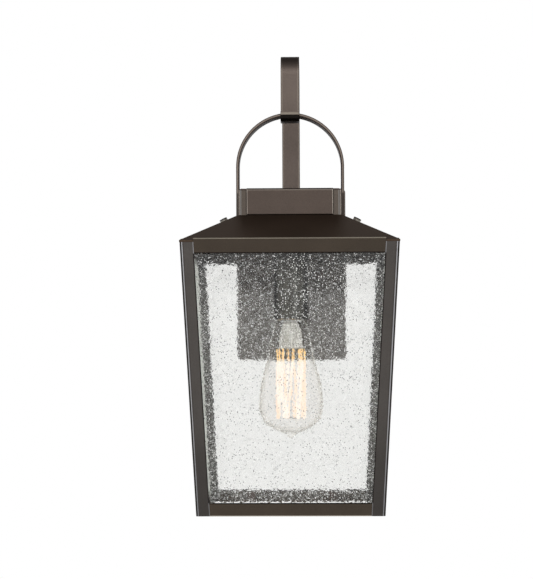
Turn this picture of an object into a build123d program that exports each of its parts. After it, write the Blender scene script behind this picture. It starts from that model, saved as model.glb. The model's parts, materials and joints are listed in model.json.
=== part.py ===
from build123d import *
import math
import os

# Outdoor wall lantern, in millimetres. +Z up, the wall is the plane Y = 0 and the lantern hangs in front
# of it, towards -Y. The origin is the middle of the mounting bar's two slots, on the wall.

# ---------------------------------------------------------------- driving sizes
# Lantern body: a square frame that widens upwards, under a hipped roof.
WALL_GAP = 43.0  # wall to the roof's back edge
EAVE_HALF = 103.0  # half width of the frame at its top
TAPER = 14.5  # narrower by this on each side at its bottom
EAVE_Z = 24.0
BODY_HEIGHT = 259.8

# Frame members: bent angles that hold the glass from outside.
MEMBER_THICK = 2.0
POST_FACE = 13.0
POST_ROUND = 3.0  # outer corner radius of a post
TOP_RAIL_FACE = 14.7
BOTTOM_RAIL_FACE = 12.3
RAIL_EDGE_ROUND = 1.2
TOP_LEDGE = 15.0
BOTTOM_LEDGE = 11.0
RAIL_JOINT_GAP = 0.05

# Glass and what keeps it in.
PANE_THICK = 3.0
PANE_LAP = 7.0  # how far the glass reaches behind a post
PANE_CLEAR = 0.3
CLIP_THICK = 1.0
CLIP_WIDTH = 8.0
CLIP_TALL = 8.0
CLIP_OFFSET = 42.0  # clip from the middle of its rail
CLIP_SCREW_R = 1.25
CLIP_SCREW_HEAD_R = 2.0
CLIP_SCREW_HEAD = 1.2

# Roof.
ROOF_RISE = 27.2
DECK_MARGIN = 0.5  # flat deck past the crown's faces
ROOF_THICK = 1.5
ROOF_DROP = 2.0  # roof's outer edge below the top of the rails
ROOF_SEAT = 0.2
ROOF_NOTCH_CLEAR = 0.3  # behind the rails' upper edges

# Crown box on the roof.
CROWN_HALF = 48.3  # to the outer faces of its corner angles
CROWN_POST_FACE = 6.7
CROWN_POST_THICK = 1.5
CROWN_POST_TALL = 24.5
CROWN_POST_ROUND = 0.6
CROWN_PANEL_THICK = 2.0
CROWN_PANEL_ROUND = 0.8
CROWN_PANEL_PROUD = 1.2
CROWN_PANEL_TALL = 25.9
CROWN_PANEL_FOOT = 0.4
LID_THICK = 1.2
LID_CLEAR = 0.2

# Hoop handle.
HOOP_THICK = 3.0
HOOP_WIDE = 18.0
HOOP_WASHER = 0.6
HOOP_TALL = 104.0  # deck to the top of the loop
HOOP_SKIN = 0.6  # metal left outside a screw's blind hole
HOOP_SCREW_R = 2.0
HOOP_SCREW_SHORT = 0.2  # screw ends this far from the bottom of its hole
HOOP_SCREW_UP = 12.0  # above the roof's top
HOOP_SCREW_HEAD_R = 3.6
HOOP_SCREW_HEAD = 2.2
HOOP_SCREW_ROUND = 0.8

# Hook arm: one flat strap from the wall plate, over the top and down into a J.
HOOK_WIDE = 18.5
HOOK_THICK = 3.5
HOOK_RISE = 61.5  # above the hoop's crest
HOOK_REAR_BEND = 32.0  # bend radii are to the middle of the strap
HOOK_FRONT_BEND = 18.5
HOOK_TIP_BEND = 4.35
HOOK_TIP_RISE = 3.3
HOOK_SIDE_CLEAR = 0.5  # hoop strap to the inside of the J, each side
HOOK_SEAT = 2.0  # the hoop's edges rest on the J's rounded corners, its crest this far above the floor
HOOK_FOOT_Z = -30.0
HOOK_EDGE_ROUND = 0.5
HOOK_SCREW_R = 2.5
HOOK_SCREW_UP = 17.6  # upper screw above the pipe
HOOK_SCREW_FOOT = 12.0  # lower screw above the strap's foot
HOOK_SCREW_HEAD_R = 4.5
HOOK_SCREW_HEAD = 2.6
HOOK_SCREW_ROUND = 1.2
CROSS_LONG = 5.5  # the head's cross recess
CROSS_WIDE = 1.1
CROSS_DEEP = 1.1
SCREW_PAST_NUT = 1.0

# Wall plate, a shallow pan open to the wall.
PLATE_MARGIN = 5.0  # past each end of the mounting bar
PLATE_TALL = 180.0
PLATE_DEEP = 22.0
PLATE_THICK = 1.5
PLATE_CORNER = 4.0
PLATE_EDGE_ROUND = 1.2
GASKET_THICK = 1.6

# Mounting bar and what fastens the plate to it.
BAR_END = 3.05  # past each slot
BAR_WIDE = 22.0
BAR_THICK = 2.0
BAR_CORNER = 3.0
BAR_CLEAR = 0.5  # inside the gasket
SLOT_SPACING = 88.9  # junction box screws
SLOT_LONG = 9.0
SLOT_HALF_WIDE = 2.4
STUD_SPACING = 60.0
STUD_R = 2.1
STUD_SHORT = 0.5  # below the top of the cap nut's flats
THREAD_CLEAR = 0.05
HOLE_CLEAR = 0.4
LOCK_NUT_FLATS = 8.0
LOCK_NUT_TALL = 3.0
CAP_NUT_FLATS = 9.0
CAP_NUT_TALL = 5.0
CAP_NUT_DOME_R = 4.2
NUT_BLANK = 0.56  # radius of a nut's round blank for each millimetre across its flats
NUT_CHAMFER = 0.03

# Wire arm: a threaded pipe through a square sleeve.
PIPE_R = 5.0
PIPE_BORE_R = 3.5
SLEEVE_HALF = 9.0
SLEEVE_WALL = 1.5
SLEEVE_ROUND = 1.5
PIPE_NUT_FLATS = 14.0
PIPE_NUT_TALL = 3.0
PIPE_STAND_OUT = 1.5  # thread showing past each nut

# Thumb screws on the roof.
KNOB_BESIDE = 9.9  # from the hoop's outer face to a thumb screw
KNOB_R = 3.9
KNOB_TALL = 7.8
KNOB_ROUND = 0.4
KNOB_SEAT = 0.05  # above the roof
KNOB_FLUTES = 20
KNOB_FLUTE_R = 0.45
KNOB_FLUTE_DEEP = 0.35
KNOB_SHANK_R = 2.0
KNOB_SHANK_LONG = 9.0
TAB_THICK = 2.0
TAB_GAP = 0.4  # under the roof sheet
TAB_WIDE = 20.0
TAB_PAST = 8.0  # past the thumb screw, towards the middle

# Lamp socket.
SOCKET_SLEEVE_WALL = 1.2
SOCKET_SLEEVE_CLEAR = 0.4
SOCKET_SLEEVE_PAST = 1.0  # below the socket's mouth
SOCKET_WALL = 1.0
SOCKET_ROUND = 2.0
SOCKET_DROP = 55.2  # deck to the socket's top
SOCKET_TALL = 43.0
SOCKET_ROOF = 16.0  # insulating material above the screw shell
SHELL_THICK = 0.4
SHELL_IN = 1.0  # up from the socket's mouth
SHELL_HOLE_R = 7.0
CONTACT_LONG = 8.0
CONTACT_WIDE = 4.0
CONTACT_THICK = 0.6
CONTACT_FOOT_R = 6.0
CONTACT_SEAT = 0.3  # tongue above the bulb's tip
NIPPLE_R = 5.0
NIPPLE_BORE_R = 3.5
NIPPLE_THREADED_IN = 6.0
NIPPLE_NUT_FLATS = 14.0
NIPPLE_NUT_TALL = 2.5
NIPPLE_STAND_OUT = 1.5

# Bulb, 64 mm teardrop with a 26 mm screw cap.
BULB_R = 32.0
BULB_HANG = 1.5  # neck below the socket's mouth
BULB_LONG = 116.5  # neck to tip
BULB_END = 35.0  # widest place to tip
BULB_END_TURN = 42.0  # degrees round the end's curve at its middle point
BULB_NECK_STEP = 0.1  # neck inside the cap's largest radius
BULB_SHOULDER_R = 17.8
BULB_SHOULDER_DROP = 9.0  # below the neck
BULB_WAIST_R = 24.3
BULB_WAIST_RISE = 41.0  # above the widest place
BULB_WALL = 1.0
CAP_R = 13.1
CAP_LONG = 19.0
CAP_FIRST = 3.5  # neck to the first ridge
CAP_RIDGE = 0.9
CAP_RIDGE_IN = 0.2  # ridge's round centre inside the cap's surface
CAP_PITCH = 3.6
CAP_PLAIN = 3.0
CAP_CLEAR = 0.4  # cap's ridges to the shell, each side
CAP_WALL = 0.5
CAP_SEAL = 0.1
CAP_TURN_IN = 1.0
CAP_CONE = 3.5
CAP_CONE_R = 5.0
CAP_CONTACT = 2.5
CAP_CONTACT_R = 4.6
CAP_CONTACT_ROUND = 1.0
STEM_SEAL = 0.15  # stem's foot to the inside of the neck
STEM_IN = 0.2  # below the neck's end
STEM_FOOT = 1.0
STEM_ROD_R = 1.8
STEM_PAST = 2.0  # below the cage
BELL_TOP_R = 5.5
BELL_SHOULDER_R = 10.4
BELL_SHOULDER_DROP = 10.0  # below the foot
BELL_R = 12.2
BELL_SHORT = 1.2  # rim above the cage's top
BELL_WALL = 0.8
CAGE_DROP = 28.5  # neck to the cage's top
CAGE_LONG = 67.5
CAGE_TOP_R = 13.5
CAGE_END_R = 14.0
CAGE_STRANDS = 16
WIRE_R = 0.35
FILAMENT_R = 0.3
SUPPORT_SHORT = 0.4  # from a spoke's end to the zigzag's corner

# Leads.
LEAD_R = 1.1
LEAD_SPREAD = 1.5  # each side of the pipe's middle
LEAD_START = 2.0  # above the screw shell
LEAD_BEND = 6.0
LEAD_DROP_BEND = 5.0
LEAD_SPLIT = 26.0  # above the connectors
LEAD_STRAIGHT = 10.0  # above the connectors
LEAD_IN = 8.0  # into a connector
CONNECTOR_R = 5.0
CONNECTOR_END_R = 3.1
CONNECTOR_ROUND = 1.0
CONNECTOR_HOLE = 9.0
CONNECTOR_LONG = 20.0
CONNECTOR_APART = 14.0
CONNECTOR_TOP_Z = 26.0
GROUND_SCREW_X = 18.0
GROUND_SCREW_R = 2.0
GROUND_SCREW_HEAD = 2.2
GROUND_SCREW_HEAD_R = 3.8
GROUND_SCREW_ROUND = 0.8
GROUND_SLOT_WIDE = 1.0
GROUND_SLOT_DEEP = 0.6
GROUND_LEAD_R = 0.9
GROUND_LEAD_OUT = 3.0  # further from the screw at the plate
GROUND_LEAD_TURNS = (24.0, 12.0)  # heights where it crosses from the plate to the bar
GROUND_LEAD_BEND = 6.0
LEAD_CLEAR = 0.1

# ---------------------------------------------------------------- worked-out places
REACH = WALL_GAP + EAVE_HALF  # wall to the lantern's upright centre line
BASE_HALF = EAVE_HALF - TAPER
BASE_Z = EAVE_Z - BODY_HEIGHT
CROWN_FACE = CROWN_HALF + CROWN_PANEL_PROUD
ROOF_TOP_HALF = CROWN_FACE + DECK_MARGIN
LEAN = math.degrees(math.atan((EAVE_HALF - BASE_HALF) / BODY_HEIGHT))
SIDE_TALL = math.hypot(BODY_HEIGHT, EAVE_HALF - BASE_HALF)
SPREAD = (EAVE_HALF - BASE_HALF) / SIDE_TALL  # widening per millimetre up a side
ROOF_EDGE_Z = EAVE_Z - ROOF_DROP
DECK_Z = ROOF_EDGE_Z + ROOF_RISE
ROOF_GRADE = ROOF_RISE / (EAVE_HALF - ROOF_TOP_HALF)
ROOF_ANGLE = math.degrees(math.atan(ROOF_GRADE))
ROOF_PLUMB = ROOF_THICK / math.cos(math.radians(ROOF_ANGLE))  # sheet thickness measured upright
POST_TOP_Z = ROOF_EDGE_Z - ROOF_PLUMB - ROOF_SEAT
ROOF_NOTCH = MEMBER_THICK + ROOF_NOTCH_CLEAR
LEDGE_TOP_Z = ROOF_EDGE_Z + ROOF_GRADE * ROOF_NOTCH - ROOF_PLUMB - ROOF_SEAT
LEDGE_S = SIDE_TALL - (EAVE_Z - LEDGE_TOP_Z)  # top of the top ledge, measured up a side
CROWN_PANEL_HALF = CROWN_HALF - CROWN_POST_FACE
LEG_IN = CROWN_FACE + HOOP_WASHER
LEG_OUT = LEG_IN + HOOP_THICK
KNOB_OUT = LEG_OUT + KNOB_BESIDE
HOOP_APEX_Z = DECK_Z + HOOP_TALL
HOOP_CENTRE_Z = HOOP_APEX_Z - LEG_OUT
HOOP_SCREW_Z = DECK_Z + HOOP_SCREW_UP
PIPE_Z = DECK_Z + CROWN_PANEL_TALL / 2
HOOK_TOP_Z = HOOP_APEX_Z + HOOK_RISE
HOOK_SCREW_Z = (PIPE_Z + HOOK_SCREW_UP, HOOK_FOOT_Z + HOOK_SCREW_FOOT)
BAR_LONG = SLOT_SPACING + SLOT_LONG + 2 * BAR_END
PLATE_WIDE = BAR_LONG + 2 * PLATE_MARGIN
GASKET_WIDE = PLATE_MARGIN - BAR_CLEAR
PLATE_FRONT = -GASKET_THICK - PLATE_DEEP
HOOK_REAR_Y = PLATE_FRONT - HOOK_THICK / 2
HOOK_HALF_J = HOOP_WIDE / 2 + HOOK_SIDE_CLEAR + HOOK_THICK / 2
HOOK_FRONT_Y = -REACH + HOOK_HALF_J
HOOK_FLOOR_Z = HOOP_APEX_Z - HOOP_THICK - HOOK_SEAT
CROWN_BACK_Y = -REACH + CROWN_FACE
NIPPLE_TOP_Z = DECK_Z + NIPPLE_NUT_TALL + NIPPLE_STAND_OUT
SOCKET_TOP_Z = DECK_Z - SOCKET_DROP
SOCKET_MOUTH_Z = SOCKET_TOP_Z - SOCKET_TALL
SOCKET_ROOF_Z = SOCKET_TOP_Z - SOCKET_ROOF
SHELL_R = CAP_R + CAP_CLEAR + SHELL_THICK
SOCKET_R = SHELL_R + SOCKET_WALL
SOCKET_SLEEVE_R = SOCKET_R + SOCKET_SLEEVE_CLEAR + SOCKET_SLEEVE_WALL
BULB_NECK_R = CAP_R - BULB_NECK_STEP
BULB_NECK_Z = SOCKET_MOUTH_Z - BULB_HANG
BULB_TIP_Z = BULB_NECK_Z - BULB_LONG
BULB_WIDEST_Z = BULB_TIP_Z + BULB_END
BULB_CAP_Z = BULB_NECK_Z + CAP_LONG
BULB_TOP_Z = BULB_CAP_Z + CAP_CONE + CAP_CONTACT
CAGE_TOP_Z = BULB_NECK_Z - CAGE_DROP
CAGE_END_Z = CAGE_TOP_Z - CAGE_LONG
BELL_TOP_Z = BULB_NECK_Z - STEM_IN - STEM_FOOT
SIDES = {"front": 0, "right": 90, "back": 180, "left": 270}


def centre(angle=0):
    """The lantern's upright centre line, turned by an angle."""
    return Pos(0, -REACH, 0) * Rot(0, 0, angle)


def side_frame(angle):
    """Bottom middle of a side's outer face: X along the side, Y inwards, Z up the leaning face."""
    return centre(angle) * Pos(0, -BASE_HALF, BASE_Z) * Rot(LEAN, 0, 0)


def face_of(points):
    """A flat face in the XY plane from its corners."""
    return make_face(Polyline(*points, close=True))


def plate_xz(points, near, far):
    """A plate whose outline lies in X and Z, from Y = near to Y = far."""
    outline = Plane.XZ * face_of(points)
    return Pos(0, far, 0) * extrude(outline, amount=far - near)


def bar_yz(points, half_width):
    """A bar whose outline lies in Y and Z, centred on X = 0."""
    return extrude(Plane.YZ * face_of(points), amount=half_width, both=True)


def tube(outer, inner, low, high):
    """An upright tube between two heights."""
    tall = high - low
    upright = (Align.CENTER, Align.CENTER, Align.MIN)
    return Pos(0, 0, low) * (Cylinder(outer, tall, align=upright) - Cylinder(inner, tall, align=upright))


def rod(radius, low, high):
    """An upright cylinder between two heights."""
    return Pos(0, 0, low) * Cylinder(radius, high - low, align=(Align.CENTER, Align.CENTER, Align.MIN))


def hexagon(flats, tall):
    return extrude(RegularPolygon(flats / 2, 6, major_radius=False), amount=tall)


def hex_nut(flats, tall, bore):
    """A nut standing on Z = 0, its corners eased by a round blank."""
    blank = rod(flats * NUT_BLANK, 0, tall)
    blank = chamfer(blank.edges(), flats * NUT_CHAMFER)
    return (hexagon(flats, tall) & blank) - rod(bore, -1, tall + 1)


def group(solids):
    return Compound(children=list(solids))


# ---------------------------------------------------------------- frame
def post(x_sign, y_sign):
    """A corner angle with a rounded outer edge, leaning outwards both ways."""
    section = Rectangle(POST_FACE, POST_FACE, align=(Align.MIN, Align.MIN))
    hollow = Pos(MEMBER_THICK, MEMBER_THICK) * Rectangle(POST_FACE, POST_FACE, align=(Align.MIN, Align.MIN))
    section -= hollow
    outer = section.vertices().sort_by(lambda v: v.X + v.Y)[0]
    section = fillet(outer, POST_ROUND)
    inner = section.vertices().sort_by(lambda v: abs(v.X - MEMBER_THICK) + abs(v.Y - MEMBER_THICK))[0]
    section = fillet(inner, POST_ROUND - MEMBER_THICK)
    tall = POST_TOP_Z - BASE_Z
    lean = (EAVE_HALF - BASE_HALF) / BODY_HEIGHT
    direction = Vector(-lean, -lean, 1)
    shape = extrude(section, amount=tall * direction.length, dir=direction)
    shape = Pos(-BASE_HALF, -BASE_HALF, BASE_Z) * shape
    if x_sign > 0:
        shape = mirror(shape, about=Plane.YZ)
    if y_sign > 0:
        shape = mirror(shape, about=Plane.XZ)
    return centre() * shape


def rail(angle, low, high, ledge_low, ledge):
    """An angle between two posts: an upright face from low to high and a ledge reaching inwards."""
    inner = BASE_HALF - POST_FACE - RAIL_JOINT_GAP
    corners = [
        (-inner - SPREAD * low, low),
        (inner + SPREAD * low, low),
        (inner + SPREAD * high, high),
        (-inner - SPREAD * high, high),
    ]
    face = plate_xz(corners, 0, MEMBER_THICK)
    long_edges = face.edges().filter_by(Axis.X).group_by(Axis.Y)[0]
    face = fillet(long_edges, RAIL_EDGE_ROUND)
    # Past the posts' inner edges a ledge is mitred, so that neighbours meet at the corners.
    half = inner + SPREAD * ledge_low
    straight = min(ledge, POST_FACE) - 2 * RAIL_JOINT_GAP
    short = half - (ledge - straight)
    shelf = [(-half, 0), (half, 0), (half, straight), (short, ledge), (-short, ledge), (-half, straight)]
    shelf = Pos(0, 0, ledge_low) * extrude(face_of(shelf), amount=MEMBER_THICK)
    return side_frame(angle) * (face + shelf)


def top_rail(angle):
    return rail(angle, SIDE_TALL - TOP_RAIL_FACE, SIDE_TALL, LEDGE_S - MEMBER_THICK, TOP_LEDGE)


def bottom_rail(angle):
    return rail(angle, 0, BOTTOM_RAIL_FACE, 0, BOTTOM_LEDGE)


def pane(angle):
    """Glass behind the frame's faces, standing on the bottom ledge."""
    low = MEMBER_THICK + PANE_CLEAR
    high = LEDGE_S - MEMBER_THICK - PANE_CLEAR
    half = BASE_HALF - POST_FACE + PANE_LAP
    corners = [
        (-half - SPREAD * low, low),
        (half + SPREAD * low, low),
        (half + SPREAD * high, high),
        (-half - SPREAD * high, high),
    ]
    near = MEMBER_THICK + PANE_CLEAR
    return side_frame(angle) * plate_xz(corners, near, near + PANE_THICK)


def clip(foot, up):
    """A bent clip: a foot on a ledge and a leg against the glass."""
    near = MEMBER_THICK + PANE_THICK + 2 * PANE_CLEAR
    foot_long = BOTTOM_LEDGE - near
    outline = [
        (near, 0),
        (near + foot_long, 0),
        (near + foot_long, CLIP_THICK * up),
        (near + CLIP_THICK, CLIP_THICK * up),
        (near + CLIP_THICK, CLIP_TALL * up),
        (near, CLIP_TALL * up),
    ]
    shape = Pos(0, 0, foot) * bar_yz(outline, CLIP_WIDTH / 2)
    return shape - Pos(0, clip_screw_y(), foot - CLIP_TALL) * rod(CLIP_SCREW_R, 0, 2 * CLIP_TALL)


def clip_screw_y():
    near = MEMBER_THICK + PANE_THICK + 2 * PANE_CLEAR + CLIP_THICK
    return (near + BOTTOM_LEDGE) / 2


def clip_screw(foot, up):
    """A pan-head screw through a clip's foot into its ledge."""
    head = rod(CLIP_SCREW_HEAD_R, CLIP_THICK, CLIP_THICK + CLIP_SCREW_HEAD)
    screw = head + rod(CLIP_SCREW_R, -MEMBER_THICK, CLIP_THICK)
    if up < 0:
        screw = Rot(180, 0, 0) * screw
    return Pos(0, clip_screw_y(), foot) * screw


def clip_places():
    """Each clip's side, shift along the rail, foot height and direction."""
    for angle in SIDES.values():
        for shift in (-CLIP_OFFSET, CLIP_OFFSET):
            yield angle, shift, MEMBER_THICK, 1
            yield angle, shift, LEDGE_S - MEMBER_THICK, -1


def glass_clips():
    return group(side_frame(a) * Pos(s, 0, 0) * clip(foot, up) for a, s, foot, up in clip_places())


def clip_screws():
    return group(side_frame(a) * Pos(s, 0, 0) * clip_screw(foot, up) for a, s, foot, up in clip_places())


def drill_clip_holes(shape, angle, top):
    """Tapped holes for a rail's two clip screws."""
    low = LEDGE_S - MEMBER_THICK - 1 if top else -1
    for shift in (-CLIP_OFFSET, CLIP_OFFSET):
        hole = Pos(shift, clip_screw_y(), 0) * rod(CLIP_SCREW_R, low, low + MEMBER_THICK + 2)
        shape -= side_frame(angle) * hole
    return shape


# ---------------------------------------------------------------- roof and thumb screws
def pyramid(half_low, half_high, low, high):
    return loft([Pos(0, 0, low) * Rectangle(2 * half_low, 2 * half_low),
                 Pos(0, 0, high) * Rectangle(2 * half_high, 2 * half_high)])


def knob_frame(x_sign):
    """A thumb screw's seat on the roof: Z straight out of the slope."""
    height = ROOF_EDGE_Z + ROOF_GRADE * (EAVE_HALF - KNOB_OUT)
    return Pos(x_sign * KNOB_OUT, -REACH, height) * Rot(0, x_sign * ROOF_ANGLE, 0)


def roof():
    """A hipped sheet with a flat deck, notched where the rails' upper edges stand in front of it."""
    grade_under = ROOF_PLUMB / ROOF_GRADE
    outside = pyramid(EAVE_HALF, ROOF_TOP_HALF, ROOF_EDGE_Z, DECK_Z)
    deck_under = DECK_Z - ROOF_THICK
    half_under = EAVE_HALF - grade_under
    top_under = half_under - (deck_under - ROOF_EDGE_Z) / ROOF_GRADE
    inside = pyramid(half_under, top_under, ROOF_EDGE_Z, deck_under)
    skirt = Pos(0, 0, ROOF_EDGE_Z - ROOF_PLUMB) * Box(
        2 * EAVE_HALF, 2 * EAVE_HALF, ROOF_PLUMB, align=(Align.CENTER, Align.CENTER, Align.MIN)
    )
    skirt -= pyramid(EAVE_HALF, half_under, ROOF_EDGE_Z - ROOF_PLUMB, ROOF_EDGE_Z)
    sheet = outside - inside + skirt
    notch_half = EAVE_HALF - POST_FACE + RAIL_JOINT_GAP
    for angle in SIDES.values():
        notch = Box(2 * notch_half, ROOF_NOTCH + 1, 20, align=(Align.CENTER, Align.MIN, Align.CENTER))
        sheet -= Rot(0, 0, angle) * Pos(0, -EAVE_HALF - 1, ROOF_EDGE_Z) * notch
    sheet -= rod(NIPPLE_R + HOLE_CLEAR, deck_under - 1, DECK_Z + 1)
    sheet = centre() * sheet
    for sign in (-1, 1):
        sheet -= knob_frame(sign) * rod(KNOB_SHANK_R + HOLE_CLEAR, -10, 10)
    return sheet


def roof_tab(x_sign):
    """A bent tab from a side rail's ledge up under the roof, tapped for the thumb screw."""
    def under(x):
        return ROOF_EDGE_Z + ROOF_GRADE * (EAVE_HALF - x) - ROOF_PLUMB - TAB_GAP

    plumb = TAB_THICK / math.cos(math.radians(ROOF_ANGLE))
    foot_z = LEDGE_TOP_Z + math.sin(math.radians(LEAN)) * TOP_LEDGE + RAIL_JOINT_GAP
    foot_out = EAVE_HALF - TOP_LEDGE / 2
    foot_in = EAVE_HALF - TOP_LEDGE
    reach_in = KNOB_OUT - TAB_PAST
    outline = [
        (foot_out, foot_z),
        (foot_in, foot_z),
        (foot_in, under(foot_in) - plumb),
        (reach_in, under(reach_in) - plumb),
        (reach_in, under(reach_in)),
        (foot_out, under(foot_out)),
    ]
    tab = plate_xz(outline, -TAB_WIDE / 2, TAB_WIDE / 2)
    if x_sign < 0:
        tab = mirror(tab, about=Plane.YZ)
    tab = centre() * tab
    return tab - knob_frame(x_sign) * rod(KNOB_SHANK_R + THREAD_CLEAR, -20, 5)


def knob(x_sign):
    """A fluted thumb screw with a plain shank for its thread."""
    head = fillet(rod(KNOB_R, KNOB_SEAT, KNOB_TALL).edges(), KNOB_ROUND)
    flute_out = KNOB_R + KNOB_FLUTE_R - KNOB_FLUTE_DEEP
    for index in range(KNOB_FLUTES):
        flute = Pos(flute_out, 0, 0) * rod(KNOB_FLUTE_R, -1, KNOB_TALL + 1)
        head -= Rot(0, 0, 360 * index / KNOB_FLUTES) * flute
    shank = rod(KNOB_SHANK_R, -KNOB_SHANK_LONG, 1.0)
    return knob_frame(x_sign) * (head + shank)


# ---------------------------------------------------------------- crown, hoop and hook
def crown_posts():
    """Four small corner angles standing on the deck."""
    corner = Box(CROWN_POST_FACE, CROWN_POST_FACE, CROWN_POST_TALL, align=(Align.MIN, Align.MIN, Align.MIN))
    hollow = Pos(CROWN_POST_THICK, CROWN_POST_THICK, 0) * corner
    angle_bar = Pos(-CROWN_HALF, -CROWN_HALF, DECK_Z) * (corner - hollow)
    outer = angle_bar.edges().filter_by(Axis.Z).sort_by(lambda e: e.center().X + e.center().Y)[0]
    angle_bar = fillet(outer, CROWN_POST_ROUND)
    return group(centre(turn) * angle_bar for turn in SIDES.values())


def crown_panel(angle):
    """A plate between two crown corners, a little proud of them and a little taller."""
    tall = CROWN_PANEL_TALL - CROWN_PANEL_FOOT
    panel = Box(2 * CROWN_PANEL_HALF, CROWN_PANEL_THICK, tall, align=(Align.CENTER, Align.MIN, Align.MIN))
    rim = panel.edges().group_by(Axis.Y)[0]
    panel = fillet(rim, CROWN_PANEL_ROUND)
    panel = Pos(0, -CROWN_FACE, DECK_Z + CROWN_PANEL_FOOT) * panel
    panel = centre(angle) * panel
    if angle in (SIDES["left"], SIDES["right"]):
        panel -= hoop_screw_axis(angle) * rod(HOOP_SCREW_R + HOLE_CLEAR, -10, 10)
    if angle == SIDES["back"]:
        panel -= pipe_axis(CROWN_BACK_Y) * rod(PIPE_R + HOLE_CLEAR, -10, 10)
    return panel


def crown_lid():
    """A plate on the crown's corner angles, inside the four panels."""
    half = CROWN_FACE - CROWN_PANEL_THICK - LID_CLEAR
    return centre() * Pos(0, 0, DECK_Z + CROWN_POST_TALL) * Box(
        2 * half, 2 * half, LID_THICK, align=(Align.CENTER, Align.CENTER, Align.MIN)
    )


def hoop_screw_axis(angle):
    """Where a hoop screw crosses a crown side's outer face: Z straight outwards."""
    return centre(angle) * Pos(0, -CROWN_FACE, HOOP_SCREW_Z) * Rot(90, 0, 0)


def hoop_handle():
    """A flat strap: two straight legs and a half round top."""
    top = HOOP_CENTRE_Z
    outer = Circle(LEG_OUT) - Circle(LEG_IN)
    arch = Plane.XZ * (outer & Pos(0, LEG_OUT / 2) * Rectangle(3 * LEG_OUT, LEG_OUT))
    band = Pos(0, HOOP_WIDE / 2, top) * extrude(arch, amount=HOOP_WIDE)
    foot = DECK_Z + ROOF_SEAT
    for sign in (-1, 1):
        leg = Box(HOOP_THICK, HOOP_WIDE, top - foot, align=(Align.CENTER, Align.CENTER, Align.MIN))
        band += Pos(sign * (LEG_IN + LEG_OUT) / 2, 0, foot) * leg
    band = centre() * band
    for side in ("left", "right"):
        band -= hoop_screw_axis(SIDES[side]) * rod(HOOP_SCREW_R, 0, HOOP_WASHER + HOOP_THICK - HOOP_SKIN)
    return band


def hoop_washers():
    return group(
        hoop_screw_axis(SIDES[side]) * tube(HOOP_SCREW_HEAD_R, HOOP_SCREW_R + HOLE_CLEAR, 0, HOOP_WASHER)
        for side in ("left", "right")
    )


def hoop_screws():
    """Pan-head screws from inside the crown into the hoop's legs."""
    end = HOOP_WASHER + HOOP_THICK - HOOP_SKIN - HOOP_SCREW_SHORT
    shank = rod(HOOP_SCREW_R, -CROWN_PANEL_THICK, end)
    head = rod(HOOP_SCREW_HEAD_R, -CROWN_PANEL_THICK - HOOP_SCREW_HEAD, -CROWN_PANEL_THICK)
    head = fillet(head.edges().group_by(Axis.Z)[0], HOOP_SCREW_ROUND)
    return group(hoop_screw_axis(SIDES[side]) * (shank + head) for side in ("left", "right"))


def hook_path():
    """The middle line of the strap, in Y and Z, from its foot to the tip of the J."""
    top = HOOK_TOP_Z - HOOK_THICK / 2
    floor = HOOK_FLOOR_Z - HOOK_THICK / 2
    tip_y = HOOK_FRONT_Y - 2 * HOOK_HALF_J
    tip_z = HOOK_FLOOR_Z - HOOK_THICK / 2 + HOOK_TIP_BEND + HOOK_TIP_RISE
    corners = [
        (0, HOOK_REAR_Y, HOOK_FOOT_Z),
        (0, HOOK_REAR_Y, top),
        (0, HOOK_FRONT_Y, top),
        (0, HOOK_FRONT_Y, floor),
        (0, tip_y, floor),
        (0, tip_y, tip_z),
    ]
    radii = [HOOK_REAR_BEND, HOOK_FRONT_BEND, HOOK_TIP_BEND, HOOK_TIP_BEND]
    return FilletPolyline(*corners, radius=radii)


def hook_arm():
    """One flat strap with eased edges, bent over the top and into a J that holds the hoop."""
    section = RectangleRounded(HOOK_WIDE, HOOK_THICK, HOOK_EDGE_ROUND)
    start = Plane(origin=(0, HOOK_REAR_Y, HOOK_FOOT_Z), x_dir=(1, 0, 0), z_dir=(0, 0, 1))
    strap = sweep(start * section, path=hook_path())
    strap -= pipe_axis(PLATE_FRONT) * rod(PIPE_R + HOLE_CLEAR, -20, 20)
    for height in HOOK_SCREW_Z:
        strap -= front_axis(0, PLATE_FRONT, height) * rod(HOOK_SCREW_R + HOLE_CLEAR, -20, 20)
    return strap


# ---------------------------------------------------------------- wall plate, wire arm and fasteners
def front_axis(x, y, z):
    """A place on a face that looks towards -Y, with Z straight outwards."""
    return Pos(x, y, z) * Rot(90, 0, 0)


def pipe_axis(y):
    return front_axis(0, y, PIPE_Z)


def wall_gasket():
    ring = RectangleRounded(PLATE_WIDE, PLATE_TALL, PLATE_CORNER)
    ring -= RectangleRounded(PLATE_WIDE - 2 * GASKET_WIDE, PLATE_TALL - 2 * GASKET_WIDE, PLATE_CORNER)
    return front_axis(0, 0, 0) * extrude(ring, amount=GASKET_THICK)


def wall_plate():
    """A shallow pressed pan, open to the wall, with eased front edges."""
    pan = extrude(RectangleRounded(PLATE_WIDE, PLATE_TALL, PLATE_CORNER), amount=PLATE_DEEP)
    pan = fillet(pan.edges().group_by(Axis.Z)[-1], PLATE_EDGE_ROUND)
    wide = PLATE_WIDE - 2 * PLATE_THICK
    tall = PLATE_TALL - 2 * PLATE_THICK
    pan -= extrude(RectangleRounded(wide, tall, PLATE_CORNER - PLATE_THICK), amount=PLATE_DEEP - PLATE_THICK)
    pan = front_axis(0, -GASKET_THICK, 0) * pan
    pan -= pipe_axis(PLATE_FRONT) * rod(PIPE_R + HOLE_CLEAR, -20, 20)
    for x in stud_places():
        pan -= front_axis(x, PLATE_FRONT, 0) * rod(STUD_R + HOLE_CLEAR, -10, 10)
    for height in HOOK_SCREW_Z:
        pan -= front_axis(0, PLATE_FRONT, height) * rod(HOOK_SCREW_R + HOLE_CLEAR, -10, 10)
    return pan


def stud_places():
    return (-STUD_SPACING / 2, STUD_SPACING / 2)


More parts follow.
